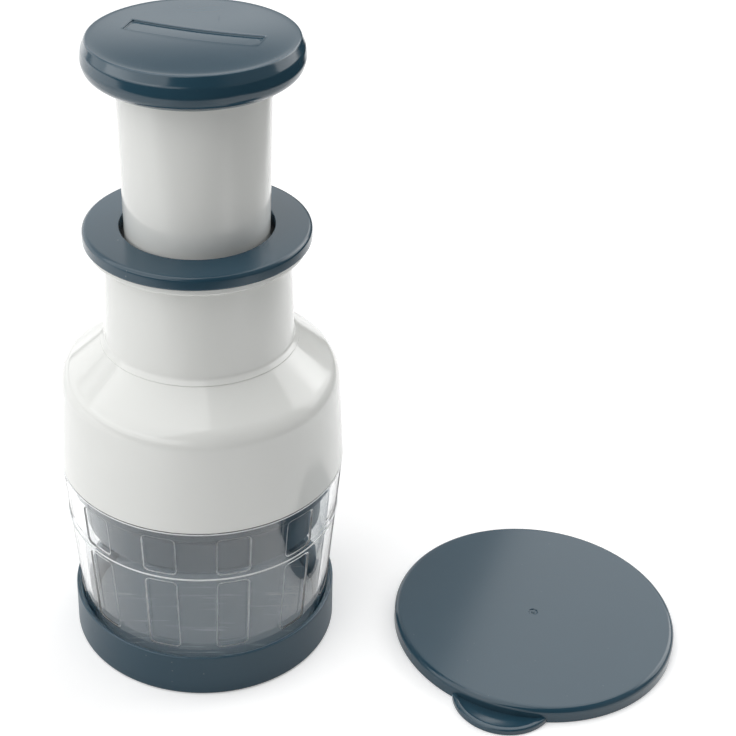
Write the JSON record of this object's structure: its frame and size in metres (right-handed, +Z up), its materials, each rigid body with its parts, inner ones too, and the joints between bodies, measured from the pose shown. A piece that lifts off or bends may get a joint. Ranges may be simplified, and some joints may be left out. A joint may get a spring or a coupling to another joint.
{
  "type": "plunger food chopper",
  "caption": "Hand food chopper: a sprung knob drives a turning zigzag blade down through a clear cup onto a base cap, with a loose lid.",
  "frame": {"origin": "middle of the base cap's flat rest face, on the chopper's own axis", "axes": "+Z up along the plunger's axis, towards the knob; -Y towards the viewer in the picture, the loose lid lies on the +X side"},
  "size_m": [0.2263, 0.1193, 0.2296],
  "materials": {
    "slate_plastic": "gloss",
    "slate_guard": "satin",
    "mat_plastic": "matte",
    "clear_plastic": "clear",
    "white_plastic": "satin",
    "inner_plastic": "satin",
    "stainless_blade": "brushed",
    "steel": "plain",
    "soft_rubber": "matte"
  },
  "bodies": {
    "base": {"base_cap": "slate_plastic", "chopping_mat": "mat_plastic"},
    "cup": {"clear_cup": "clear_plastic"},
    "housing": {"housing_shell": "white_plastic", "neck_sleeve": "white_plastic", "collar_ring": "slate_plastic", "guide_barrel": "inner_plastic", "spindle_nut": "inner_plastic", "blade_guard": "slate_guard", "wiper_ring": "inner_plastic", "barrel_screws": "steel", "lower_spring_seat": "steel"},
    "plunger": {"knob_shell": "slate_plastic", "knob_underplate": "slate_plastic", "plunger_tube": "white_plastic", "tube_cap": "inner_plastic", "buffer_ring": "soft_rubber", "upper_spring_seat": "steel", "return_spring": "steel"},
    "rotor": {"spindle": "steel", "thrust_washer": "steel", "spindle_clip": "steel", "blade_carrier": "inner_plastic", "zigzag_blade": "stainless_blade", "foot_rivets": "steel"},
    "wiper": {"wiper_plate": "inner_plastic"},
    "lid": {"storage_lid": "slate_plastic"}
  },
  "joints": [
    {"name": "cup_lift", "type": "slide", "parent": "base", "child": "cup", "axis": [0, 0, 1], "range_m": [0, 0.03]},
    {"name": "housing_lift", "type": "slide", "parent": "cup", "child": "housing", "axis": [0, 0, 1], "range_m": [0, 0.06]},
    {"name": "plunger_press", "type": "slide", "parent": "housing", "child": "plunger", "axis": [0, 0, -1], "range_m": [0, 0.046], "stiffness_N_per_m": 180, "springref_m": -0.025, "deforming": ["return_spring"]},
    {"name": "blade_turn", "type": "hinge", "parent": "plunger", "child": "rotor", "pos_m": [0, 0, 0.1], "axis": [0, 0, -1], "range_deg": [0, 60.5]},
    {"name": "wiper_turn", "type": "hinge", "parent": "housing", "child": "wiper", "pos_m": [0, 0, 0.0552], "axis": [0, 0, -1], "range_deg": [0, 60.5]},
    {"name": "lid_lift", "type": "slide", "parent": "base", "child": "lid", "axis": [0, 0, 1], "range_m": [0, 0.06]}
  ],
  "couplings": [
    {"joint": "blade_turn", "follows": "plunger_press", "rad_per_m": 22.76},
    {"joint": "wiper_turn", "follows": "plunger_press", "rad_per_m": 22.76}
  ]
}
